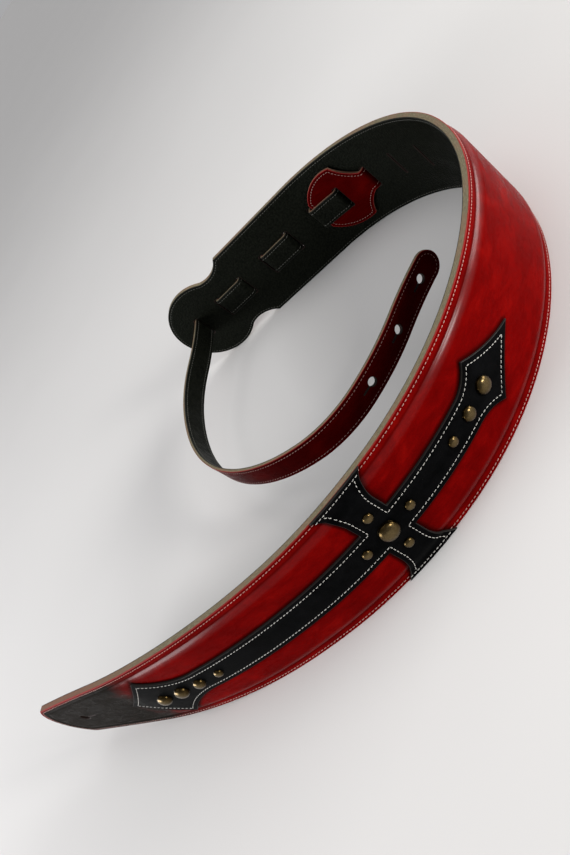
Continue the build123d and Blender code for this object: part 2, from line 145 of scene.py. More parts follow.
# ---- Cross overlay, about its own centre ----
CROSS_S = 318.0
CROSS_MIDDLE_S = 268.0
CROSS_REACH = 190.0
OVERLAY_THICK = 1.2
OVERLAY_SINK = 0.35
ARM_HALF = 11.0
SIDE_ARM_HALF = 10.3
SIDE_ARM_END = 19.0
FLARE_START = 20.0
FLARE_MIDDLE = (12.2, 29.0)
FLARE_RUN_OUT = (23.6, 41.9)
FOOT = ((-146.0, 11.0), (-170.0, 14.4), (-188.0, 25.5), (-203.5, 12.8), (-224.0, 0.0))
SPEAR = ((71.0, 11.0), (80.0, 13.2), (88.0, 18.8), (105.5, 7.4), (124.0, 0.0))
STUDS = {
    "center": (12.7, [(0.0, 0.0)]),
    "large": (10.3, [(-188.0, 0.0), (-171.0, 0.0), (85.8, 0.0)]),
    "medium": (8.6, [(-154.0, 0.0), (69.8, 0.0)]),
    "small": (6.3, [(-136.5, 0.0), (54.0, 0.0), (16.7, 0.0), (-16.7, 0.0), (0.0, 15.6), (0.0, -15.6)]),
}
DOME_RISE = 0.36
DOME_STEPS = 14
DOME_SIDES = 48

# ---- Tail ----
TAIL_HALF = 10.0
TAIL_LAYER = 1.3
TAIL_GAP = 0.01
LAY_GAP = 0.4
OUTSIDE = OUTER_FACE + TAIL_LAYER + LAY_GAP
INSIDE = -OUTSIDE
OVER_HEAD = INSIDE - 2 * TAIL_LAYER - LAY_GAP
WEAVE_R = 2.6
EXIT_LEVEL = -4.0
FREE_ARC = 50.0
FREE_TURNS = (-14, 20, 15, 20, 23, 22, 38, 19, -13)
FLEX_PLACE = 8.0
FLEX_ACROSS = 210.0  # degrees, the way the tail runs there
FLEX_BLEND = (4.0, 3.0)  # before and after the joint
HEAD_END_S = 766.0
HEAD_END_HALF = 14.0
HEAD_SHOULDER = (752.0, 25.5)
HEAD_CORNER = (730.0, 27.5)
HEAD_SCALLOP = (721.0, 15.0)
HEAD_NECK_S = 713.2
TAIL_HOLES = (19.0, 55.0, 91.0)
TAIL_HOLE_R = 3.0
TAIL_SLIT = 9.0

# ---- Mesh corners: rows beside an edge, then the regular grid's reach and steps ----
RED_ROWS = (1.1, 1.7, 2.2, 2.7, 3.4, 4.4, 5.3, 5.8, 6.3, 6.9, 7.6, 8.4, 9.4, 10.6, 12.1, 14.2)
CROSS_ROWS = (-0.5, -1.2, -2.1, -3.2, -4.6, 0.8)
LINING_ROWS = (1.0, 1.6, 2.2, 2.8, 3.6, 4.6)
OVERLAY_ROWS = (1.0, 1.8, 2.4, 3.0, 3.6, 4.4)
TAIL_LANES = (-8.9, -8.2, -7.5, -6.8, -5.6, -3.4, 0.0, 3.4, 5.6, 6.8, 7.5, 8.2, 8.9)
STRAP_GRID = (4.0, 940.0, 36.0)
OVERLAY_GRID = (96.0, 440.0, 36.0)
RED_STEP = 2.6
LINING_STEP = 3.4
OVERLAY_STEP = 2.2
COARSE_STEP = 5.0
HEAD_STEP = 1.6
GRID_CLEAR = 0.3
MITRE_LIMIT = 8.0
HOLE_SPARE = 9.0  # how far a hole's rounding could reach
RIM_SHARE = 0.4  # of the room at each of the outline's points, for its rounding

# ---- Colours; a ramp's tones are (share, colour) pairs ----
RED_SHINE = (1.0, 0.32, 0.26)
RED_TONES = (
    (0.36, (0.088, 0.0006, 0.0006)),
    (0.48, (0.112, 0.0008, 0.0008)),
    (0.54, (0.132, 0.0010, 0.0009)),
    (0.66, (0.178, 0.0020, 0.0014)),
)
# painted shade: the dark red in the pressed groove beside the pad's ridge
GROOVE_PAINTED_SHADE = (0.040, 0.0006, 0.0006)
# painted shadow: the dark red laid round the overlay's edge
OVERLAY_PAINTED_SHADOW = (0.012, 0.0006, 0.0005)
SMOKE_TONES = ((0.0018, 0.0013, 0.0008), (0.0068, 0.0047, 0.0028))
SMOKE_ENDS = (190.0, 132.0)  # where the nose's smoke begins and is full, with its drift added
SMOKE_DRIFT = 80.0
CUT_TONES = ((0.30, (0.068, 0.056, 0.032)), (0.50, (0.155, 0.130, 0.078)), (0.70, (0.310, 0.275, 0.185)))
CUT_PATCHES = (0.21, 0.125, 0.080)
CUT_NEAR_NOSE = (0.19, 0.080, 0.052)
EDGE_DYE = (0.20, 0.006, 0.005)
EDGE_BLACK = (0.008, 0.008, 0.007)
# painted shade: the dark laid on the walls of punched holes and slots
HOLE_PAINTED_SHADE = (0.014, 0.006, 0.004)
NOWHERE = (90.0, 95.0)  # levels that no piece reaches
RAW_TONES = ((0.3, (0.11, 0.09, 0.055)), (0.7, (0.30, 0.26, 0.17)))
BLACK_TONES = ((0.38, (0.0008, 0.0009, 0.0010)), (0.66, (0.0026, 0.0027, 0.0030)))
# painted highlight: the paler grey along the overlay's bevelled edge
BEVEL_PAINTED_HIGHLIGHT = (0.016, 0.014, 0.013)
LINING_SHINE = (0.85, 1.0, 0.80)
LINING_TONES = ((0.15, (0.0060, 0.0066, 0.0046)), (0.75, (0.0014, 0.0016, 0.0011)))
BRASS_TONES = ((0.20, (0.008, 0.0052, 0.0020)), (0.55, (0.045, 0.029, 0.010)), (0.92, (0.135, 0.098, 0.046)))
FLANGE_TONES = ((0.42, 0.31, 0.13), (0.60, 0.47, 0.22))
FOAM_TONES = ((0.10, 0.10, 0.105), (0.035, 0.035, 0.038))
THREADS = {
    "pink_cream_thread": ((0.56, 0.32, 0.28), (0.30, 0.13, 0.11)),
    # painted shade: the pink-cream thread darkened for the shaded tail
    "tail_thread_painted_shade": ((0.36, 0.20, 0.175), (0.17, 0.075, 0.065)),
    "white_thread": ((0.60, 0.58, 0.54), (0.32, 0.31, 0.28)),
    "dull_thread": ((0.085, 0.085, 0.070), (0.035, 0.035, 0.030)),
}
FLOOR_TONES = ((0.66, 0.65, 0.64), (0.70, 0.69, 0.68))

# ---- Floor, sky and lights (metres, degrees, watts); a panel is place, aim, size, power, colour ----
FLOOR_REACH = 30.0
FLOOR_LEVEL = -0.0001
SKY_COLOUR = (0.98, 0.98, 1.0)
SKY_STRENGTH = 0.40
PANELS = {
    "left": ((-1.57, 0.14, 0.34), (-0.08, -0.08, 0.05), (1.10, 0.52), 30.0, (0.98, 0.98, 1.0)),
    "side": ((1.67, -0.28, 0.37), (0.18, -0.15, 0.05), (1.10, 0.52), 24.0, (1.0, 0.99, 0.97)),
    "front": ((1.04, -1.30, 0.58), (0.06, -0.17, 0.05), (0.42, 0.42), 20.0, (1.0, 0.985, 0.96)),
}
OVERHEAD_POWER = 0.55
OVERHEAD_SPREAD = 50.0
OVERHEAD_TILT = -12.0

# ---- Camera (metres, degrees) ----
CAMERA_PLACE = (0.0239, -0.5045, 0.3057)
CAMERA_PITCH = 30.13
CAMERA_ROLL = 58.52
CAMERA_LENS = 33.88


# ---- Plan lines ----
class PlanLine:
    """A line of tangent arcs seen from above. Right of its direction is its outer side."""

    def __init__(self, start, heading, arcs):
        self.lengths = np.array([length for length, _ in arcs])
        self.turns = np.radians([turn for _, turn in arcs])
        self.marks = np.concatenate(([0.0], np.cumsum(self.lengths)))
        places = [(start[0], start[1], math.radians(heading))]
        for length, turn in zip(self.lengths, self.turns):
            x, y, h = places[-1]
            chord = length * np.sinc(turn / math.tau)
            places.append(
                (x + chord * math.cos(h + turn / 2), y + chord * math.sin(h + turn / 2), h + turn)
            )
        self.places = np.array(places)
        self.length = self.marks[-1]

    def at(self, s):
        """Places and headings at arc lengths s. Beyond its ends the line runs on straight."""
        s = np.asarray(s, float)
        last = len(self.lengths) - 1
        i = np.clip(np.searchsorted(self.marks, s, side="right") - 1, 0, last)
        along = s - self.marks[i]
        on_arc = np.clip(along, 0, self.lengths[i])
        turn = self.turns[i] * on_arc / self.lengths[i]
        chord = on_arc * np.sinc(turn / math.tau)
        x, y, start = self.places[i].T
        heading = start + turn
        x = x + chord * np.cos(start + turn / 2) + (along - on_arc) * np.cos(heading)
        y = y + chord * np.sin(start + turn / 2) + (along - on_arc) * np.sin(heading)
        return x, y, heading

    def bend(self, s0, s1):
        """The arcs between two arc lengths, as (length, turn in degrees) pairs."""
        stops = [s0] + [m for m in self.marks if s0 + 1e-6 < m < s1 - 1e-6] + [s1]
        headings = np.degrees(self.at(stops)[2])
        return [(b - a, q - p) for a, b, p, q in zip(stops, stops[1:], headings, headings[1:])]

    def place(self, flat):
        """Places in metres of flat points (along, across, outwards) in millimetres."""
        s, v, out = np.asarray(flat, float).T
        x, y, heading = self.at(s)
        x = x + out * np.sin(heading)
        y = y - out * np.cos(heading)
        return np.column_stack((x, y, MID_Z + v)) * MM


def quarter(side, delta):
    """A quarter turn of the weave, to the left for side 1, on a strap that turns by delta."""
    return (WEAVE_R * math.pi / 2, side * 90.0 + delta)


def beside(line, a, b, level):
    """A run beside a line from a to b, at an offset from it."""
    arcs = [(n + math.radians(t) * level, t) for n, t in line.bend(min(a, b), max(a, b))]
    return arcs if a < b else [(n, -t) for n, t in reversed(arcs)]


def weave(line):
    """The tail's arcs from the end of its head to where it leaves the last slot."""

    def slot_bend(station):
        return sum(turn for _, turn in line.bend(station, station + WEAVE_R))

    levels = (OUTSIDE, OVER_HEAD, OUTSIDE, INSIDE, OUTSIDE, INSIDE, OUTSIDE)
    delta = slot_bend(USED_SLOTS[0])
    arcs = beside(line, HEAD_END_S, USED_SLOTS[0] + WEAVE_R, INSIDE)
    arcs += [quarter(1, -delta), (OUTSIDE - INSIDE - 2 * WEAVE_R, 0.0), quarter(1, delta)]
    for index, level in enumerate(levels):
        here, there = USED_SLOTS[index], USED_SLOTS[index + 1]
        arcs += beside(line, here + WEAVE_R, there - WEAVE_R, level)
        delta = slot_bend(there)
        if index == len(levels) - 1:
            arcs += [quarter(1, delta), (level - WEAVE_R - EXIT_LEVEL, 0.0)]
            break
        step = levels[index + 1] - level
        side = 1 if step < 0 else -1
        arcs += [quarter(side, delta), (abs(step) - 2 * WEAVE_R, 0.0), quarter(-side, delta)]
    return arcs


def make_tail_line(strap):
    """The tail's line, and where on it the woven length ends."""
    x, y, heading = strap.at(HEAD_END_S)
    start = (x + INSIDE * math.sin(heading), y - INSIDE * math.cos(heading))
    woven = weave(strap)
    free = [(FREE_ARC, turn) for turn in FREE_TURNS]
    line = PlanLine(start, math.degrees(heading) + 180.0, woven + free)
    return line, sum(length for length, _ in woven)


# ---- Flat shapes ----
def run_points(a, b, step):
    """Points on a straight run, from a up to but not including b."""
    count = max(1, math.ceil(math.dist(a, b) / step))
    return [(a[0] + (b[0] - a[0]) * i / count, a[1] + (b[1] - a[1]) * i / count) for i in range(count)]


def arc_points(a, m, b, step):
    """Points on the arc through m, from a up to but not including b."""
    (ax, ay), (mx, my), (bx, by) = a, m, b
    d = 2 * (ax * (my - by) + mx * (by - ay) + bx * (ay - my))
    qa, qm, qb = ax * ax + ay * ay, mx * mx + my * my, bx * bx + by * by
    cx = (qa * (my - by) + qm * (by - ay) + qb * (ay - my)) / d
    cy = (qa * (bx - mx) + qm * (ax - bx) + qb * (mx - ax)) / d
    radius = math.hypot(ax - cx, ay - cy)
    start = math.atan2(ay - cy, ax - cx)
    sweep = (math.atan2(by - cy, bx - cx) - start) % math.tau
    if (math.atan2(my - cy, mx - cx) - start) % math.tau > sweep:
        sweep -= math.tau
    count = max(2, math.ceil(abs(sweep) * radius / step))
    turns = [start + sweep * i / count for i in range(count)]
    return [(cx + radius * math.cos(t), cy + radius * math.sin(t)) for t in turns]


def trace(start, pieces, step=1.2, long_step=2.5):
    """A closed loop. Each piece is (end,) for a run or (middle, end) for an arc."""
    points, here = [], start
    for piece in pieces:
        if len(piece) == 1:
            points += run_points(here, piece[0], long_step)
        else:
            points += arc_points(here, piece[0], piece[1], step)
        here = piece[-1]
    return np.array(points)


def low(point):
    """The same point on the lower half."""
    return (point[0], -point[1])


def left(point):
    """The same point on the foot's side of the cross."""
    return (-point[0], point[1])


def way_back(start, pieces):
    """The pieces mirrored onto the lower half, from the last one's end back to start."""
    starts = [start] + [piece[-1] for piece in pieces[:-1]]
    return [
        tuple(low(point) for point in (*piece[:-1], begun))
        for piece, begun in zip(reversed(pieces), reversed(starts))
    ]


def strap_outline():
    """The wide part, from its nose's lower corner round its slotted end and back."""
    taper_end, scallop = (TAPER_END_S, HALF_WIDTH), (SCALLOP_S, HALF_WIDTH)
    upper = [(SCALLOP_DIP, scallop), (taper_end,), (TAPER_MIDDLE, NOSE_CORNER)]
    pieces = [*way_back(LOBE_JOIN, upper), ((STRAP_END_S, 0.0), LOBE_JOIN), *upper]
    return trace(low(NOSE_CORNER), [*pieces, (NOSE, low(NOSE_CORNER))], step=1.4)


def overlay_outline(run_out=False):
    """The cross, from its spear round its upper side to its foot and back.

    With run_out its side arms run on a little past the strap's edges.
    """
    corner = (SIDE_ARM_HALF, ARM_HALF)
    flare = (SIDE_ARM_HALF, FLARE_START)
    end = (SIDE_ARM_END, HALF_WIDTH)
    run = [(FLARE_RUN_OUT,), (left(FLARE_RUN_OUT),)] if run_out else []
    neck, dip, barb, flank, point = SPEAR
    foot_neck, foot_dip, foot_barb, foot_flank, foot_point = FOOT
    upper = [
        (flank, barb),
        (dip, neck),
        (corner,),
        (flare,),
        (FLARE_MIDDLE, end),
        *run,
        (left(end),),
        (left(FLARE_MIDDLE), left(flare)),
        (left(corner),),
        (foot_neck,),
        (foot_dip, foot_barb),
        (foot_flank, foot_point),
    ]
    loop = trace(point, upper + way_back(point, upper), step=0.9, long_step=1.6)
    return loop + np.array((CROSS_S, 0.0))


def slot_outline(s, width):
    """A punched slot across a strap, with rounded corners."""
    r = min(width / 2 - 0.01, SLOT_CORNER_R)
    x, y = width / 2, SLOT_LENGTH / 2
    k = r * (1 - math.sqrt(0.5))
    pieces = [((x, y - r),), ((x - k, y - k), (x - r, y)), ((r - x, y),)]
    pieces += [((k - x, y - k), (-x, y - r)), ((-x, r - y),), ((k - x, k - y), (r - x, -y))]
    pieces += [((x - r, -y),), ((x - k, k - y), (x, r - y))]
    return trace((x, r - y), pieces, step=0.35, long_step=1.6) + np.array((s, 0.0))


def keyhole_outline(s, radius, slit, side):
    """A button hole with a slit that runs to one side."""
    half = SLIT_WIDTH / 2
    mouth = math.sqrt(radius**2 - half**2)
    pieces = [((-radius, 0.0), (mouth, -half)), ((slit, -half),)]
    pieces += [((slit + half, 0.0), (slit, half)), ((mouth, half),)]
    loop = trace((mouth, half), pieces, step=0.5, long_step=1.0)
    return loop * np.array((side, 1.0)) + np.array((s, 0.0))


def wound(loop, anticlockwise):
    """The loop in the direction asked for."""
    x, y = loop.T
    turns_left = np.sum(x * np.roll(y, -1) - np.roll(x, -1) * y) > 0
    return loop if turns_left == anticlockwise else loop[::-1]


def mitred(loop):
    """At each corner, the step that moves both of its sides left by one."""
    side = np.roll(loop, -1, axis=0) - loop
    side = side / np.linalg.norm(side, axis=1)[:, None]
    after = np.column_stack((-side[:, 1], side[:, 0]))
    before = np.roll(after, 1, axis=0)
    mitre = (before + after) / np.maximum(1 + np.sum(before * after, axis=1), 0.02)[:, None]
    size = np.linalg.norm(mitre, axis=1)[:, None]
    return mitre * np.minimum(1.0, MITRE_LIMIT / size)


def distance(points, loop):
    """How far each flat point lies from a closed loop, by the sides beside its nearest corners."""
    tree = KDTree(len(loop))
    for index, (x, y) in enumerate(loop.tolist()):
        tree.insert((x, y, 0.0), index)
    tree.balance()
    near = [[hit[1] for hit in tree.find_n((x, y, 0.0), 3)] for x, y in points.tolist()]
    near = np.array(near, int).reshape(-1, 3)
    corners = np.concatenate((near, near - 1), axis=1) % len(loop)
    side = loop[(corners + 1) % len(loop)] - loop[corners]
    gap = points[:, None] - loop[corners]
    share = np.clip(np.sum(gap * side, axis=2) / np.sum(side * side, axis=2), 0, 1)
    return np.linalg.norm(gap - share[:, :, None] * side, axis=2).min(axis=1)


def inside(points, loop):
    """Which flat points a closed loop holds."""
    ends = np.roll(loop, -1, axis=0)
    result = np.zeros(len(points), bool)
    for (ax, ay), (bx, by) in zip(loop, ends):
        if ay == by:
            continue
        spans = (points[:, 1] < ay) != (points[:, 1] < by)
        cross = ax + (points[:, 1] - ay) * (bx - ax) / (by - ay)
        result ^= spans & (points[:, 0] < cross)
    return result


def between_rings(points, rings):
    """Which flat points lie inside the first ring and outside all the others."""
    held = inside(points, rings[0])
    for hole in rings[1:]:
        held &= ~inside(points, hole)
    return held


def inset(loop, amount):
    """The loop moved inwards, without the points that fold over."""
    loop = wound(loop, True)
    moved = loop + amount * mitred(loop)
    clear = distance(moved, loop) > 0.98 * abs(amount) - 0.01
    return moved[clear & (inside(moved, loop) == (amount > 0))]


def room(loop):
    """How far each of a loop's points is from the far side of what the loop bounds."""
    step = mitred(loop)
    step = step / np.linalg.norm(step, axis=1)[:, None]
    gaps = np.linalg.norm(loop[:, None] - loop[None], axis=2)
    facing = step @ step.T < -0.2
    return np.min(np.where(facing, gaps, 1e3), axis=1)


def rows(loop, amounts):
    """Rows of points inside a loop, or outside it for negative amounts."""
    return [inset(loop, amount) for amount in amounts]


def smooth(x, a, b):
    """A smooth step from 0 at a to 1 at b."""
    t = np.clip((x - a) / (b - a), 0, 1)
    return t * t * (3 - 2 * t)


def groove(rim, at, width, depth):
    """How deep a pressed line is, at distances rim from an edge."""
    return depth * np.exp(-(((rim - at) / width) ** 2))


# ---- Meshes ----
def add_object(name, data):
    """A new object in the scene."""
    thing = bpy.data.objects.new(name, data)
    bpy.context.scene.collection.objects.link(thing)
    return thing


def make_object(name, places, faces, materials, slots, attributes):
    """A smooth mesh object. slots gives each face's material, and None the first for all."""
    mesh = bpy.data.meshes.new(name)
    mesh.from_pydata(places.tolist(), [], faces)
    for key, values in attributes.items():
        kind, target = ("FLOAT_VECTOR", "vector") if values.ndim == 2 else ("FLOAT", "value")
        made = mesh.attributes.new(key, kind, "POINT")
        made.data.foreach_set(target, values.astype(np.float32).ravel())
    for material in materials:
        mesh.materials.append(material)
    if slots is not None:
        mesh.polygons.foreach_set("material_index", slots)
    mesh.polygons.foreach_set("use_smooth", [True] * len(mesh.polygons))
    mesh.update()
    return add_object(name, mesh)


def triangulate(rings, grid):
    """Triangles over the material between the rings, with the grid's points as more corners."""
    points = [grid]
    edges = []
    count = len(grid)
    for ring in rings:
        points.append(ring)
        numbers = list(range(count, count + len(ring)))
        edges += list(zip(numbers, numbers[1:] + numbers[:1]))
        count += len(ring)
    flat = np.concatenate(points)
    made = delaunay_2d_cdt([Vector(p) for p in flat.tolist()], edges, [], 0, 1e-7)
    source = [min(found) for found in made[3]]
    triangles = np.array([[source[i] for i in face] for face in made[2]])
    return triangles[between_rings(flat[triangles].mean(axis=1), rings)]


def slab(name, line, loops, top, bottom, grid, radii, materials, beside=None):
    """A sheet with rounded cut edges, drawn flat and bent onto a line.

    loops is its outline and then its holes. top and bottom give its two faces' levels at flat
    points, and beside a measure to store there. The materials are those of its top, its edge
    and its back.
    """
    loops = [wound(loop, index == 0) for index, loop in enumerate(loops)]
    steps = [mitred(loop) for loop in loops]
    spare = [RIM_SHARE * room(loops[0])] + [np.full(len(loop), HOLE_SPARE) for loop in loops[1:]]

    def ring(index, amount):
        reach = np.minimum(amount, spare[index] * amount / max(radii))
        return loops[index] + steps[index] * reach[:, None]

    r_top, r_bottom = radii
    rings = [ring(i, r_top) for i in range(len(loops))]
    for loop, edge in zip(loops, rings):
        grid = grid[distance(grid, edge) > GRID_CLEAR]
    grid = grid[between_rings(grid, rings)]
    triangles = triangulate(rings, grid)

    # The two faces, each with its grid and its rings.
    upper = np.concatenate([grid] + rings)
    lower = np.concatenate([grid] + [ring(i, r_bottom) for i in range(len(loops))])
    total = len(upper)
    flat = [np.column_stack((upper, top(upper))), np.column_stack((lower, bottom(lower)))]
    faces = triangles.tolist() + (triangles[:, ::-1] + total).tolist()
    slots = [0] * len(triangles) + [2] * len(triangles)

    # The rounded edges, in bands from the upper rings down to the lower ones.
    angles = [math.pi / 2 * k / ROUND_STEPS for k in range(1, ROUND_STEPS + 1)]
    count, first = 2 * total, len(grid)
    for index, loop in enumerate(loops):
        size = len(loop)
        here = np.arange(size)
        last = here + first
        level_top, level_bottom = top(rings[index]), bottom(loop)
        bands = []
        for angle in angles:
            edge = ring(index, r_top * (1 - math.sin(angle)))
            bands.append(np.column_stack((edge, level_top - r_top * (1 - math.cos(angle)))))
        for angle in angles:
            edge = ring(index, r_bottom * (1 - math.cos(angle - angles[0])))
            rise = r_bottom * (1 - math.sin(angle - angles[0]))
            bands.append(np.column_stack((edge, level_bottom + rise)))
        for band in bands + [None]:
            now = here + first + total if band is None else here + count
            quads = np.column_stack((last, now, np.roll(now, -1), np.roll(last, -1)))
            faces += quads.tolist()
            slots += [1] * size
            if band is not None:
                flat.append(band)
                count += size
            last = now
        first += size
    flat = np.concatenate(flat)
    attributes = {"place": flat, "rim": distance(flat[:, :2], loops[0])}
    if beside is not None:
        attributes["beside"] = beside(flat[:, :2])
    return make_object(name, line.place(flat), faces, materials, slots, attributes)


def level(value):
    """A flat face at one level."""
    return lambda points: np.full(len(points), float(value))


def lattice(s0, s1, v_half, step):
    """Points on a regular grid."""
    s = np.arange(s0, s1, step)
    count = int(v_half // step)
    v = np.arange(-count, count + 1) * step
    return np.array([(a, b) for a in s for b in v])


# ---- Stitches ----
def stitch_mould(width, height):
    """One stitch along x, of length 1: a thread that rises out of its hole and goes back in."""
    rows_at = (-0.5, -0.42, -0.2, 0.2, 0.42, 0.5)
    fullness = (0.25, 0.75, 1.0, 1.0, 0.75, 0.25)
    sink = (-0.45, -0.12, 0.0, 0.0, -0.12, -0.45)
    points, faces = [], []
    for place, full, drop in zip(rows_at, fullness, sink):
        for k in range(STITCH_SIDES):
            angle = math.tau * k / STITCH_SIDES
            across = math.cos(angle) * full * width / 2
            up = (math.sin(angle) * full * 0.5 + 0.28 + drop) * height
            points.append((place, across, up))
    for row in range(len(rows_at) - 1):
        for k in range(STITCH_SIDES):
            a, b = row * STITCH_SIDES + k, row * STITCH_SIDES + (k + 1) % STITCH_SIDES
            faces.append((a, a + STITCH_SIDES, b + STITCH_SIDES, b))
    faces.append(tuple(range(STITCH_SIDES)))
    end = (len(rows_at) - 1) * STITCH_SIDES
    faces.append(tuple(end + k for k in reversed(range(STITCH_SIDES))))
    return np.array(points), faces


def stitch_places(loop):
    """Stitches along a closed loop, as (middle, direction, length), starting at its corners."""
    side = np.roll(loop, -1, axis=0) - loop
    heading = np.degrees(np.arctan2(side[:, 1], side[:, 0]))
    change = (heading - np.roll(heading, 1) + 180) % 360 - 180
    corners = [i for i, c in enumerate(change) if abs(c) > STITCH_CORNER] or [0]
    made = []
    for a, b in zip(corners, corners[1:] + [corners[0] + len(loop)]):
        points = loop[[i % len(loop) for i in range(a, b + 1)]]
        marks = np.concatenate(([0.0], np.cumsum(np.linalg.norm(np.diff(points, axis=0), axis=1))))
        count = max(1, round(marks[-1] / STITCH_PITCH))
        size = marks[-1] / count
        for i in range(count):
            ends = [(i + STITCH_GAP) * size, (i + 1 - STITCH_GAP) * size]
            p, q = np.column_stack([np.interp(ends, marks, axis) for axis in points.T])
            length = np.linalg.norm(q - p)
            made.append(((p + q) / 2, (q - p) / length, length))
    return made


def stitches(name, line, places, surface, side, material, seed, width=0.42, height=0.50):
    """A row of separate stitches on a surface, facing outwards for side 1."""
    draw = random.Random(seed)
    mould, mould_faces = stitch_mould(width, height)
    mould_faces = [face if side < 0 else face[::-1] for face in mould_faces]
    levels = surface(np.array([middle for middle, _, _ in places]))
    flat, faces = [], []
    for (middle, along, length), ground in zip(places, levels):
        lean = math.radians(draw.gauss(*STITCH_LEAN)) * side
        c, s = math.cos(lean), math.sin(lean)
        along = np.array((along[0] * c - along[1] * s, along[0] * s + along[1] * c))
        across = np.array((-along[1], along[0]))
        shape = mould * np.array((length * draw.uniform(*STITCH_SIZES), 1.0, 1.0))
        spot = middle + shape[:, :1] * along + shape[:, 1:2] * across
        base = len(flat) * len(mould)
        flat.append(np.column_stack((spot, ground + side * shape[:, 2])))
        faces += [[base + k for k in face] for face in mould_faces]
    flat = np.concatenate(flat)
    return make_object(name, line.place(flat), faces, [material], None, {"place": flat})


# ---- Studs ----
def dome_profile(size):
    """Half section of a domed stud, from its crown down to under its rim."""
    radius, rise = size / 2, size * DOME_RISE
    lip = 0.035 * size
    points = []
    for k in range(DOME_STEPS + 1):
        angle = math.pi / 2 * k / DOME_STEPS
        points.append((radius * 0.985 * math.sin(angle), lip + (rise - lip) * math.cos(angle) ** 0.92))
    points += [(radius, lip * 0.75), (radius, 0.02), (radius * 0.96, -0.12), (0.0, -0.12)]
    return points


def dome_mould(size):
    """One stud about its own axis: its points and faces."""
    profile = dome_profile(size)
    turns = [math.tau * k / DOME_SIDES for k in range(DOME_SIDES)]
    points = [(r * math.cos(t), r * math.sin(t), rise) for r, rise in profile[1:-1] for t in turns]
    top, bottom = len(points), len(points) + 1
    last = top - DOME_SIDES
    points += [(0.0, 0.0, profile[0][1]), (0.0, 0.0, profile[-1][1])]
    faces = []
    for k in range(DOME_SIDES):
        n = (k + 1) % DOME_SIDES
        faces.append((top, k, n))
        for a in range(0, last, DOME_SIDES):
            faces.append((a + k, a + DOME_SIDES + k, a + DOME_SIDES + n, a + n))
        faces.append((bottom, last + n, last + k))
    return np.array(points), faces


def studs(name, line, size, spots, surface, material):
    """Domed studs on a surface, each square to it."""
    mould, mould_faces = dome_mould(size)
    places, flat, faces = [], [], []
    for u, v in spots:
        s = CROSS_S + u
        around = np.array([(s, v), (s + 0.5, v), (s, v + 0.5)])
        points = line.place(np.column_stack((around, surface(around))))
        along = Vector(points[1] - points[0]).normalized()
        outwards = along.cross(Vector(points[2] - points[0])).normalized()
        axes = np.array((along, outwards.cross(along), outwards))
        faces += [[len(flat) * len(mould) + k for k in face] for face in mould_faces]
        places.append(points[0] + mould @ axes * MM)
        flat.append(mould + (s, v, 0.0))
    flat = np.concatenate(flat)
    attributes = {"place": flat, "dome": np.maximum(flat[:, 2], 0.0) / (size * DOME_RISE)}
    return make_object(name, np.concatenate(places), faces, [material], None, attributes)


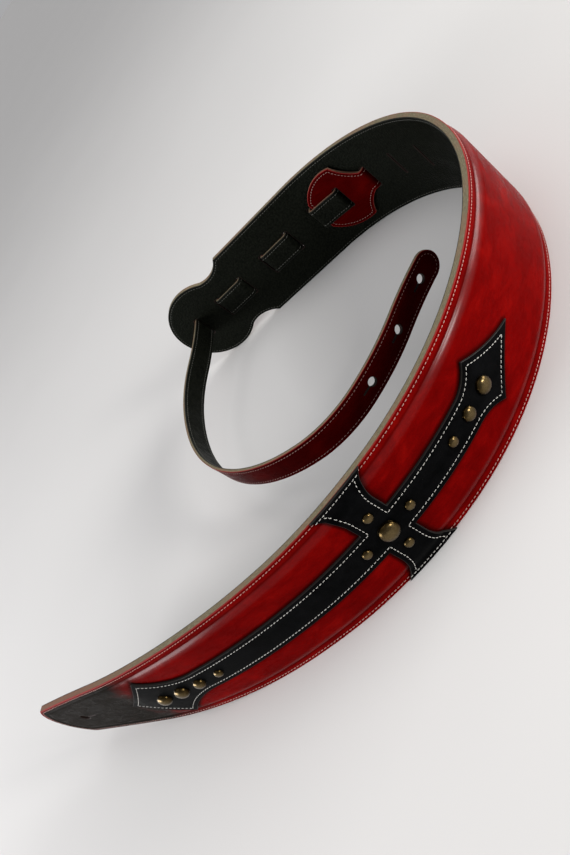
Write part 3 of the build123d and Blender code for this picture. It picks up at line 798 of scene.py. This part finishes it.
# ---- Material nodes ----
class Finish:
    """A principled material and short ways to add nodes to it."""

    def __init__(self, name, **sockets):
        self.material = bpy.data.materials.new(name)
        self.material.use_nodes = True
        self.tree = self.material.node_tree
        self.shader = self.tree.nodes["Principled BSDF"]
        for key, value in sockets.items():
            self.shader.inputs[key.replace("_", " ")].default_value = value
        self.place = self.attribute("place", "Vector")

    def node(self, kind, settings=None, **sockets):
        """A new node with its settings and sockets, underscores standing for spaces."""
        made = self.tree.nodes.new("ShaderNode" + kind)
        for key, value in (settings or {}).items():
            setattr(made, key, value)
        for key, value in sockets.items():
            self.put(made.inputs[key.replace("_", " ")], value)
        return made

    def put(self, socket, value):
        """Link a socket to an output, or set it to a value."""
        if isinstance(value, bpy.types.NodeSocket):
            self.tree.links.new(value, socket)
        else:
            socket.default_value = value

    def attribute(self, name, output="Fac"):
        return self.node("Attribute", {"attribute_name": name}).outputs[output]

    def parts(self):
        """The place's s, v and out."""
        made = self.node("SeparateXYZ", Vector=self.place)
        return [made.outputs[key] for key in "XYZ"]

    def noise(self, scale, detail=4.0, rough=0.55, stretch=None, warp=0.0):
        """Cloudy noise over the place, with its axes scaled by stretch."""
        source = self.place
        if stretch is not None:
            made = self.node("VectorMath", {"operation": "MULTIPLY"})
            self.put(made.inputs[0], self.place)
            made.inputs[1].default_value = stretch
            source = made.outputs[0]
        made = self.node(
            "TexNoise", Vector=source, Scale=scale, Detail=detail, Roughness=rough, Distortion=warp
        )
        return made.outputs["Fac"]

    def cells(self, scale, smoothness):
        """Rounded cells over the place, like the grain of leather."""
        settings = {"feature": "SMOOTH_F1"}
        made = self.node("TexVoronoi", settings, Vector=self.place, Scale=scale, Smoothness=smoothness)
        return made.outputs["Distance"]

    def math(self, operation, *values):
        """The values joined by an operation, from the first to the last."""
        result = values[0]
        for value in values[1:]:
            made = self.node("Math", {"operation": operation})
            self.put(made.inputs[0], result)
            self.put(made.inputs[1], value)
            result = made.outputs[0]
        return result

    def product(self, *values):
        return self.math("MULTIPLY", *values)

    def total(self, *shares):
        """The sum of values, each times its weight."""
        return self.math("ADD", *[self.product(value, weight) for value, weight in shares])

    def span(self, value, a, b, low_value=0.0, high_value=1.0):
        """value's way from a to b, smoothly, as low_value to high_value."""
        settings = {"interpolation_type": "SMOOTHSTEP"}
        ends = {"From_Min": a, "From_Max": b, "To_Min": low_value, "To_Max": high_value}
        return self.node("MapRange", settings, Value=value, **ends).outputs["Result"]

    def blend(self, share, a, b):
        """Colour a turned into colour b by a share."""
        made = self.node("Mix", {"data_type": "RGBA"})
        self.put(made.inputs[0], share)
        for socket, value in zip((made.inputs[6], made.inputs[7]), (a, b)):
            self.put(socket, value if isinstance(value, bpy.types.NodeSocket) else (*value, 1.0))
        return made.outputs[2]

    def ramp(self, share, stops):
        """A colour that runs through the stops, each a (share, colour) pair."""
        made = self.node("ValToRGB", Fac=share)
        elements = made.color_ramp.elements
        while len(elements) < len(stops):
            elements.new(0.5)
        for element, (place, colour) in zip(elements, stops):
            element.position = place
            element.color = (*colour, 1.0)
        return made.outputs["Color"]

    def bump(self, height, strength, depth, under=None):
        """Small relief on top of what is under it; depth is in millimetres."""
        made = self.node("Bump", Height=height, Strength=strength, Distance=depth * MM)
        if under is not None:
            self.put(made.inputs["Normal"], under)
        return made.outputs["Normal"]

    def finish(self, colour, roughness, normal=None):
        """Link the shader and return the material."""
        for key, value in (("Base Color", colour), ("Roughness", roughness), ("Normal", normal)):
            if value is not None:
                self.put(self.shader.inputs[key], value)
        return self.material


def red_leather(name, depth, burnished_and_shadowed):
    """Red dyed leather with a soft shine; depth scales its colour, and a depth below 1 paints shade into a
    darker copy of the same leather.

    Burnished leather is smoky at the nose and shiny on its sewn ridge, and its red is darkened round the
    overlay as a painted shadow.
    """
    f = Finish(name, Specular_IOR_Level=0.006, Specular_Tint=(*RED_SHINE, 1.0))
    s, v, _ = f.parts()
    clouds = f.noise(0.035, 5.0, 0.6, stretch=(1.0, 1.5, 1.0), warp=0.8)
    streaks = f.noise(0.14, 6.0, 0.66, stretch=(0.55, 1.3, 1.0), warp=0.5)
    fine = f.noise(0.9, 4.0, 0.6)
    tone = f.total((clouds, 0.55), (streaks, 0.35), (fine, 0.10))
    # a depth below 1 darkens the dye's tones as painted shade
    colour = f.ramp(tone, [(share, tuple(depth * c for c in dye)) for share, dye in RED_TONES])
    rim = f.attribute("rim")
    # painted shade: the red is darkened in the pressed groove beside the pad's ridge
    groove_shade = f.product(f.span(rim, 4.4, GROOVE_AT), f.span(rim, 7.4, GROOVE_AT), 0.5)
    colour = f.blend(groove_shade, colour, GROOVE_PAINTED_SHADE)
    if burnished_and_shadowed:
        # painted shadow: the red darkens within about 3 mm of the overlay's edge
        painted_shadow = f.product(f.span(f.attribute("beside"), 3.2, 0.2), 0.8)
        colour = f.blend(painted_shadow, colour, OVERLAY_PAINTED_SHADOW)
        drift = f.product(f.noise(0.045, 4.0, 0.6), SMOKE_DRIFT)
        smoke = f.span(f.math("ADD", s, drift), *SMOKE_ENDS)
        # painted light: on the upper edge the smoke is held back from the margin outside the stitching,
        # which keeps that margin red as if lit
        painted_light_margin = f.math("MAXIMUM", f.span(rim, 0.8, 3.2, 0.12, 1.0), f.span(v, 12.0, 4.0))
        smoke = f.product(smoke, painted_light_margin)
        colour = f.blend(smoke, colour, f.blend(f.noise(0.12, 5.0, 0.65), *SMOKE_TONES))
        ridge = f.product(f.span(rim, 5.9, 6.6), f.span(rim, 11.5, 8.0), f.span(smoke, 0.6, 0.0))
        rubbed = f.span(s, 60.0, 330.0, 0.13, 0.30)
        f.put(f.shader.inputs["Coat Weight"], f.product(ridge, rubbed))
        f.shader.inputs["Coat Roughness"].default_value = 0.24
    grain = f.cells(0.95, 0.7)
    creases = f.noise(0.22, 6.0, 0.7, stretch=(1.0, 0.6, 1.0), warp=1.2)
    normal = f.bump(grain, 0.16, 0.22)
    normal = f.bump(creases, 0.22, 0.7, normal)
    normal = f.bump(fine, 0.12, 0.2, normal)
    return f.finish(colour, f.span(streaks, 0.35, 0.65, 0.24, 0.38), normal)


def cut_edge(name, dyed=NOWHERE, dark=NOWHERE):
    """Raw cut leather. The walls of punched holes are darkened as painted shade.

    dyed and dark are levels, from none to full, between which dye has run in from its face and
    black from its lining.
    """
    f = Finish(name, Specular_IOR_Level=0.18)
    s, _, out = f.parts()
    fibres = f.noise(1.0, 6.0, 0.7, stretch=(0.35, 3.0, 3.0))
    colour = f.ramp(fibres, CUT_TONES)
    colour = f.blend(f.span(f.noise(0.06, 4.0, 0.6), 0.42, 0.62, 0.0, 0.5), colour, CUT_PATCHES)
    colour = f.blend(f.span(s, 190.0, 60.0, 0.0, 0.75), colour, CUT_NEAR_NOSE)
    wander = f.product(f.math("SUBTRACT", f.noise(0.8, 3.0), 0.5), 0.5)
    level_here = f.math("ADD", out, wander)
    colour = f.blend(f.span(level_here, *dyed), colour, EDGE_DYE)
    colour = f.blend(f.span(level_here, *dark), colour, EDGE_BLACK)
    # painted shade: cut edges away from the outline, the walls of the holes, are darkened
    colour = f.blend(f.span(f.attribute("rim"), 1.5, 4.0), colour, HOLE_PAINTED_SHADE)
    return f.finish(colour, f.span(fibres, 0.3, 0.7, 0.62, 0.85), f.bump(fibres, 0.5, 0.25))


def raw_back(name):
    """The fleshy back of a leather, or a leather core."""
    f = Finish(name, Specular_IOR_Level=0.2)
    nap = f.noise(1.4, 6.0, 0.7)
    return f.finish(f.ramp(nap, RAW_TONES), f.span(nap, 0.3, 0.7, 0.75, 0.92), f.bump(nap, 0.5, 0.3))


def black_leather(name):
    """Black overlay leather, shinier along its bevelled edge, where a paler grey is a painted highlight."""
    f = Finish(name, Specular_IOR_Level=0.015, Coat_Roughness=0.3)
    wear = f.noise(0.09, 5.0, 0.62)
    bevel = f.span(f.attribute("rim"), 0.50, 0.12)
    # painted highlight: the bevelled edge is painted paler grey, as if catching light
    colour = f.blend(bevel, f.ramp(wear, BLACK_TONES), BEVEL_PAINTED_HIGHLIGHT)
    f.put(f.shader.inputs["Coat Weight"], f.span(bevel, 0.0, 1.0, 0.0, 0.10))
    normal = f.bump(f.cells(1.15, 0.6), 0.22, 0.2)
    normal = f.bump(f.noise(0.5, 5.0, 0.65), 0.15, 0.35, normal)
    return f.finish(colour, f.span(wear, 0.35, 0.65, 0.34, 0.50), normal)


def pebbled_lining(name):
    """Black lining with a pebbled grain."""
    f = Finish(name, Specular_IOR_Level=0.03, Specular_Tint=(*LINING_SHINE, 1.0))
    wear = f.noise(0.07, 5.0, 0.6)
    heap = f.total((f.cells(0.62, 0.25), 0.8), (f.cells(1.5, 0.4), 0.25))
    normal = f.bump(wear, 0.3, 0.6, f.bump(heap, 0.75, -0.55))
    return f.finish(f.ramp(heap, LINING_TONES), f.span(wear, 0.35, 0.65, 0.38, 0.56), normal)


def thread(name, pale, shade):
    """Soiled, twisted sewing thread."""
    f = Finish(name, Specular_IOR_Level=0.35, Sheen_Weight=0.15)
    fibre = f.noise(2.6, 4.0, 0.6, stretch=(1.0, 2.0, 2.0))
    soil = f.span(f.noise(0.05, 3.0, 0.5), 0.45, 0.7, 0.0, 0.35)
    colour = f.blend(soil, f.blend(fibre, shade, pale), shade)
    return f.finish(colour, f.span(fibre, 0.3, 0.7, 0.5, 0.75), f.bump(fibre, 0.5, 0.12))


def antique_brass(name):
    """Tarnished brass, dark low on each dome and worn brighter at its crown."""
    f = Finish(name, Metallic=1.0)
    tarnish = f.noise(0.55, 6.0, 0.7)
    colour = f.ramp(f.total((f.attribute("dome"), 0.65), (tarnish, 0.45)), BRASS_TONES)
    scratches = f.noise(3.0, 4.0, 0.6, stretch=(1.0, 0.25, 1.0))
    return f.finish(colour, f.span(tarnish, 0.35, 0.7, 0.20, 0.32), f.bump(scratches, 0.1, 0.05))


def plain_metal(name):
    """For the small flanges hidden in the strap. They have no flat place, so it uses their own."""
    f = Finish(name, Metallic=1.0)
    f.place = f.node("TexCoord").outputs["Object"]
    grain = f.noise(900.0, 3.0)
    return f.finish(f.blend(grain, *FLANGE_TONES), f.span(grain, 0.3, 0.7, 0.3, 0.45))


def foam(name):
    """Closed-cell foam."""
    f = Finish(name, Specular_IOR_Level=0.2)
    pores = f.cells(1.6, 0.2)
    colour = f.blend(pores, *FOAM_TONES)
    return f.finish(colour, f.span(pores, 0.2, 0.7, 0.95, 0.8), f.bump(pores, 0.5, 0.3))


def make_materials():
    """Every material, by the short name the pieces use."""
    made = {
        "red": red_leather("red_leather_burnished_painted_shadow", 1.0, True),
        # painted shade: the tail is the strap's own red leather, darkened for the shade it lies in
        "tail_red": red_leather("red_leather_painted_shade", 0.34, False),
        "red_edge": cut_edge("cut_edge_red", dyed=(1.55, 2.15)),
        "core_edge": cut_edge("cut_edge_core"),
        "lining_edge": cut_edge("cut_edge_lining", dark=(-1.5, -2.0)),
        "tail_red_edge": cut_edge("cut_edge_tail_red", dyed=(0.75, 1.15)),
        "tail_lining_edge": cut_edge("cut_edge_tail_lining", dark=(-0.45, -0.95)),
        "raw": raw_back("raw_leather_back"),
        "black": black_leather("black_overlay_leather"),
        "lining": pebbled_lining("black_pebbled_lining"),
        "brass": antique_brass("antique_brass"),
        "metal": plain_metal("plain_brass"),
        "foam": foam("closed_cell_foam"),
    }
    made.update({name: thread(name, *tones) for name, tones in THREADS.items()})
    return made


# ---- The strap ----
class StrapShape:
    """The strap's flat outlines, and the levels of its faces at flat points."""

    def __init__(self):
        self.edge = strap_outline()
        self.cross = overlay_outline()
        self.crossing = overlay_outline(run_out=True)
        self.holes = [keyhole_outline(FRONT_HOLE_S, FRONT_HOLE_R, FRONT_SLIT, 1)]
        self.holes += [slot_outline(s, UNUSED_SLOT_WIDTH) for s in UNUSED_SLOTS]
        self.holes += [slot_outline(s, USED_SLOT_WIDTH) for s in USED_SLOTS]

    def crown(self, points, rim=None):
        """How far the pad lifts the leather."""
        rim = distance(points, self.edge) if rim is None else rim
        t = np.clip((rim - CROWN_FOOT) / (CROWN_TOP - CROWN_FOOT), 0, 1)
        rise = 1 - (1 - t) ** CROWN_POWER
        ends = smooth(points[:, 0], *PAD_FADE_IN) * (1 - smooth(points[:, 0], *PAD_FADE_OUT))
        return CROWN * rise * ends

    def beside_cross(self, points):
        """Signed distance from the overlay's edge, positive outside it, for nearby points."""
        away = np.full(len(points), 50.0)
        near = np.abs(points[:, 0] - CROSS_MIDDLE_S) < CROSS_REACH
        found = distance(points[near], self.cross)
        away[near] = np.where(inside(points[near], self.cross), -found, found)
        return away

    def red_face(self, points):
        rim = distance(points, self.edge)
        pressed = np.exp(-((np.maximum(self.beside_cross(points), 0) / PRESS_REACH) ** 2))
        height = OUTER_FACE + self.crown(points, rim) * (1 - PRESS_SHARE * pressed)
        height -= PRESS_DEPTH * pressed * smooth(rim, 0.5, 3)
        return height - groove(rim, *EDGE_GROOVE) - groove(rim, *RIDGE_GROOVE)

    def red_back(self, points):
        return CORE_OUTER + LAYER_GAP + self.crown(points)

    def pad_face(self, points):
        return CORE_OUTER - PAD_GAP + self.crown(points)

    def lining_face(self, points):
        return INNER_FACE + groove(distance(points, self.edge), *LINING_GROOVE)

    def overlay_face(self, points):
        rim = distance(points, self.edge)
        height = OUTER_FACE + OVERLAY_THICK + self.crown(points, rim) - groove(rim, *ARM_GROOVE)
        return height - groove(distance(points, self.crossing), *OVERLAY_GROOVE)

    def overlay_back(self, points):
        return OUTER_FACE - OVERLAY_SINK + self.crown(points)


def on_strap(piece, node):
    """Let a piece stand for a CAD node and ride on the strap."""
    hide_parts(node)
    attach(piece, "strap")


def build_red_leather(shape, line, m):
    """The red face, crowned over the pad and pressed down round the overlay."""
    middle = lattice(*STRAP_GRID, RED_STEP)
    middle = middle[distance(middle, shape.edge) > RED_ROWS[-1] + 0.8]
    middle = middle[distance(middle, shape.cross) > 0.4 - min(CROSS_ROWS)]
    grid = np.concatenate(rows(shape.edge, RED_ROWS) + rows(shape.cross, CROSS_ROWS) + [middle])
    red = slab(
        "strap_top_leather", line, [shape.edge] + shape.holes, shape.red_face, shape.red_back,
        grid, RED_ROUND, [m["red"], m["red_edge"], m["raw"]], shape.beside_cross,
    )
    on_strap(red, "top_leather")


def build_core_and_pad(shape, line, m):
    """The core leather, with the foam pad in an opening cut through it."""
    grid = lattice(*STRAP_GRID, COARSE_STEP)
    grid = grid[distance(grid, shape.edge) > 2.0]
    opening = inset(shape.edge, PAD_INSET)
    opening = opening[(opening[:, 0] > PAD_START_S) & (opening[:, 0] < PAD_END_S)]
    core = slab(
        "strap_core_leather", line, [shape.edge] + shape.holes + [opening], level(CORE_OUTER),
        level(CORE_INNER), grid, CORE_ROUND, [m["raw"], m["core_edge"], m["raw"]],
    )
    on_strap(core, "core_leather")
    pad = slab(
        "strap_foam_pad", line, [inset(opening, PAD_SIDE_GAP)], shape.pad_face,
        level(CORE_INNER + PAD_GAP), grid, PAD_ROUND, [m["foam"]] * 3,
    )
    on_strap(pad, "foam_pad")


def build_lining(shape, line, m):
    """The black lining on the inner side."""
    grid = np.concatenate(rows(shape.edge, LINING_ROWS) + [lattice(*STRAP_GRID, LINING_STEP)])
    lining = slab(
        "strap_lining_leather", line, [shape.edge] + shape.holes, level(CORE_INNER - LAYER_GAP),
        shape.lining_face, grid, LINING_ROUND, [m["raw"], m["lining_edge"], m["lining"]],
    )
    on_strap(lining, "lining_leather")


def build_overlay(shape, line, m):
    """The black cross on the red leather."""
    middle = lattice(*OVERLAY_GRID, OVERLAY_STEP)
    middle = middle[distance(middle, shape.cross) > OVERLAY_ROWS[-1] + 0.4]
    grid = np.concatenate(rows(shape.cross, OVERLAY_ROWS) + [middle])
    overlay = slab(
        "cross_overlay_leather", line, [shape.cross], shape.overlay_face, shape.overlay_back,
        grid, OVERLAY_ROUND, [m["black"]] * 3,
    )
    on_strap(overlay, "cross_overlay")


def build_strap_stitches(shape, line, m):
    """The stitches along both edges, and those round the overlay."""
    along_edge = stitch_places(inset(shape.edge, EDGE_STITCH))
    covered = inside(np.array([middle for middle, _, _ in along_edge]), shape.cross)
    shown = [place for place, over in zip(along_edge, covered) if not over]
    on_arms = [place for place, over in zip(along_edge, covered) if over]
    stop = HALF_WIDTH - EDGE_STITCH - 0.8
    round_cross = stitch_places(inset(shape.crossing, OVERLAY_STITCH))
    round_cross = [place for place in round_cross if abs(place[0][1]) < stop]
    for name, places, surface, side, colour, seed, node in (
        ("edge_stitches_outer", shown, shape.red_face, 1, "pink_cream", 11, "edge_stitching"),
        ("edge_stitches_inner", along_edge, shape.lining_face, -1, "dull", 12, "edge_stitching"),
        ("cross_stitches", round_cross, shape.overlay_face, 1, "white", 13, "overlay_stitching"),
        ("edge_stitches_on_arms", on_arms, shape.overlay_face, 1, "white", 14, "edge_stitching"),
    ):
        piece = stitches(name, line, places, surface, side, m[colour + "_thread"], seed)
        on_strap(piece, node)


def build_strap(line, m):
    """The padded part with its overlay, stitches and studs."""
    shape = StrapShape()
    build_red_leather(shape, line, m)
    build_core_and_pad(shape, line, m)
    build_lining(shape, line, m)
    build_overlay(shape, line, m)
    build_strap_stitches(shape, line, m)
    for kind, (size, spots) in STUDS.items():
        caps = studs("stud_domes_" + kind, line, size, spots, shape.overlay_face, m["brass"])
        on_strap(caps, "stud_cap_" + kind)


# ---- The tail ----
def tail_outline(line, on_head):
    """The tail's outline, and the places along it where its strip has corners."""
    stations = [0.0]
    for length, turn in zip(line.lengths, line.turns):
        step = 0.5 if abs(turn) / length > 0.1 else 2.2
        count = max(1, math.ceil(length / step))
        stations += [stations[-1] + length * (i + 1) / count for i in range(count)]
    tip = line.length - TAIL_HALF
    neck = on_head(HEAD_NECK_S, TAIL_HALF)
    between = [t for t in stations if neck[0] + 0.4 < t < tip - 0.4]
    corner = on_head(*HEAD_CORNER)
    shoulder, scallop = on_head(*HEAD_SHOULDER), on_head(*HEAD_SCALLOP)
    upper = [(scallop, corner), (shoulder, (0.0, HEAD_END_HALF))]
    pieces = [*upper, ((0.0, -HEAD_END_HALF),), *way_back(neck, upper)]
    head = trace(neck, pieces, step=0.9, long_step=1.5)
    near_side = [(t, -TAIL_HALF) for t in between]
    end = arc_points((tip, -TAIL_HALF), (line.length, 0.0), (tip, TAIL_HALF), 0.9)
    far_side = [(t, TAIL_HALF) for t in reversed([neck[0]] + between + [tip])][:-1]
    return np.array(head.tolist() + [low(neck)] + near_side + end + far_side), between


def build_tail(strap_line, m):
    """The tail from its head, through the slots, to its button end, as continuous sheets."""
    line, woven = make_tail_line(strap_line)
    head_scale = line.marks[np.argmax(line.turns > 1.0)] / (HEAD_END_S - USED_SLOTS[0] - WEAVE_R)

    def on_head(s, half):
        return ((HEAD_END_S - s) * head_scale, half)

    outline, between = tail_outline(line, on_head)
    holes = [slot_outline(on_head(USED_SLOTS[1], 0)[0], USED_SLOT_WIDTH)]
    holes += [keyhole_outline(line.length - back, TAIL_HOLE_R, TAIL_SLIT, -1) for back in TAIL_HOLES]

    def red_face(points):
        return TAIL_LAYER - groove(distance(points, outline), *TAIL_GROOVE)

    def lining_face(points):
        return -TAIL_LAYER + groove(distance(points, outline), *TAIL_LINING_GROOVE)

    strip = [(t, v) for t in between for v in TAIL_LANES]
    head = lattice(1.0, on_head(HEAD_NECK_S, 0)[0], 27.0, HEAD_STEP)
    grid = np.concatenate([np.array(strip), head])
    leather = slab(
        "tail_leather", line, [outline] + holes, red_face, level(TAIL_GAP), grid, TAIL_ROUND,
        [m["tail_red"], m["tail_red_edge"], m["raw"]],
    )
    lining = slab(
        "tail_lining", line, [outline] + holes, level(-TAIL_GAP), lining_face, grid, TAIL_LINING_ROUND,
        [m["raw"], m["tail_lining_edge"], m["lining"]],
    )
    places = stitch_places(inset(outline, TAIL_STITCH))
    outer = stitches("tail_stitches_outer", line, places, red_face, 1, m["tail_thread_painted_shade"], 21, 0.45, 0.45)
    inner = stitches("tail_stitches_inner", line, places, lining_face, -1, m["dull_thread"], 22, 0.45, 0.45)

    x, y, _ = line.at(woven + FLEX_PLACE)
    flex = Vector((float(x), float(y), MID_Z)) * MM
    turn = math.radians(FLEX_ACROSS)
    across = Vector((math.cos(turn), math.sin(turn), 0.0)) * MM
    start, end = flex - across * FLEX_BLEND[0], flex + across * FLEX_BLEND[1]
    for piece, nodes, slot in (
        (leather, ("tail_woven_leather", "tail_free_leather"), "red_leather"),
        (lining, ("tail_woven_lining", "tail_free_lining"), "black_lining"),
        (outer, ("tail_head_stitching", "tail_free_stitching"), "thread"),
        (inner, ("tail_head_stitching", "tail_free_stitching"), "thread"),
    ):
        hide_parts(*nodes)
        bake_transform(piece)
        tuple(start)
        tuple(end)


# ---- Room, lights and camera ----
def build_stage():
    """The pale floor and an even sky."""
    f = Finish("studio_floor", Specular_IOR_Level=0.2)
    f.place = f.node("TexCoord").outputs["Object"]
    cloud = f.noise(3.0, 3.0)
    f.finish(f.blend(cloud, *FLOOR_TONES), f.span(cloud, 0.3, 0.7, 0.8, 0.9))
    mesh = bpy.data.meshes.new("studio_floor")
    corners = [(x * FLOOR_REACH, y * FLOOR_REACH, 0) for x, y in ((-1, -1), (1, -1), (1, 1), (-1, 1))]
    mesh.from_pydata(corners, [], [(0, 1, 2, 3)])
    mesh.materials.append(f.material)
    floor = add_object("studio_floor", mesh)
    floor.location = (0.0, 0.0, FLOOR_LEVEL)

    world = bpy.data.worlds.new("studio")
    world.use_nodes = True
    sky = world.node_tree.nodes["Background"].inputs
    sky["Color"].default_value = (*SKY_COLOUR, 1.0)
    sky["Strength"].default_value = SKY_STRENGTH
    bpy.context.scene.world = world
    bpy.context.scene.view_settings.view_transform = "Standard"


def build_lights():
    """Three soft panels and one broad light from overhead."""
    for name, (place, aim, size, power, colour) in PANELS.items():
        data = bpy.data.lights.new(name, "AREA")
        data.shape = "RECTANGLE"
        data.size, data.size_y = size
        data.energy = power
        data.color = colour
        lamp = add_object(name, data)
        lamp.location = place
        lamp.rotation_euler = (Vector(aim) - Vector(place)).to_track_quat("-Z", "Y").to_euler()
    data = bpy.data.lights.new("overhead", "SUN")
    data.energy = OVERHEAD_POWER
    data.angle = math.radians(OVERHEAD_SPREAD)
    lamp = add_object("overhead", data)
    lamp.rotation_euler = (math.radians(OVERHEAD_TILT), 0.0, 0.0)


def build_camera():
    """The camera, tilted down and then rolled about its own axis."""
    data = bpy.data.cameras.new("camera")
    data.lens = CAMERA_LENS
    data.sensor_width = 36.0
    camera = add_object("camera", data)
    tilt = Matrix.Rotation(math.radians(90.0 - CAMERA_PITCH), 4, "X")
    roll = Matrix.Rotation(math.radians(-CAMERA_ROLL), 4, "Z")
    camera.matrix_world = Matrix.Translation(CAMERA_PLACE) @ tilt @ roll
    bpy.context.scene.camera = camera


def main():
    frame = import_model()
    build_camera()
    build_stage()
    build_lights()
    materials = make_materials()
    strap_line = PlanLine(STRAP_START, STRAP_HEADING, [(STRAP_ARC, turn) for turn in STRAP_TURNS])
    build_strap(strap_line, materials)
    build_tail(strap_line, materials)
    for kind in STUDS:
        base = frame["nodes"]["stud_base_" + kind]
        base.data.materials.clear()
        base.data.materials.append(materials["metal"])


main()
